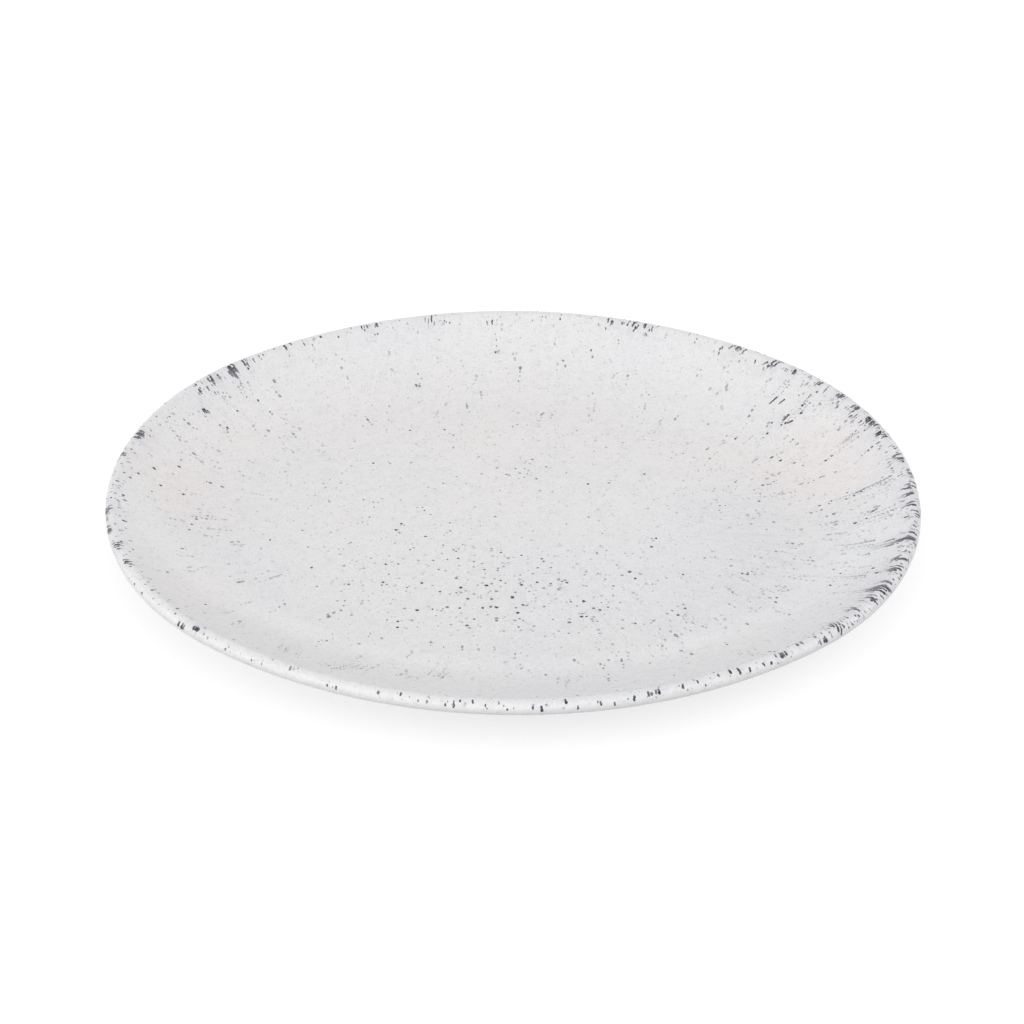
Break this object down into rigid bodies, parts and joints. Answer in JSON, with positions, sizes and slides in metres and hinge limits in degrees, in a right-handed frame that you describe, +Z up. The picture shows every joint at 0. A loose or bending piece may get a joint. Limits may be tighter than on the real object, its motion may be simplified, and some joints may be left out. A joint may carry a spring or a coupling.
{
  "type": "oval plate",
  "caption": "Oval coupe plate with a flat well, a sloping wall, a rounded lip and a foot ring, in off-white glaze with blue-black specks, for serving food at the table.",
  "frame": {"origin": "on the table under the middle of the plate, in the plane of the foot ring's face", "axes": "+X along the oval, +Y across it and away from the viewer, +Z up out of the dish"},
  "size_m": [0.317, 0.255, 0.026],
  "materials": {
    "fired_clay": "bare fired stoneware, matt and slightly gritty",
    "speckled_glaze": "satin-gloss off-white glaze with blue-black specks",
    "plain_glaze": "satin-gloss off-white glaze"
  },
  "bodies": {
    "root": {"fired_body": "fired_clay", "upper_glaze": "speckled_glaze", "underside_glaze": "plain_glaze", "recess_glaze": "plain_glaze"}
  },
  "joints": []
}
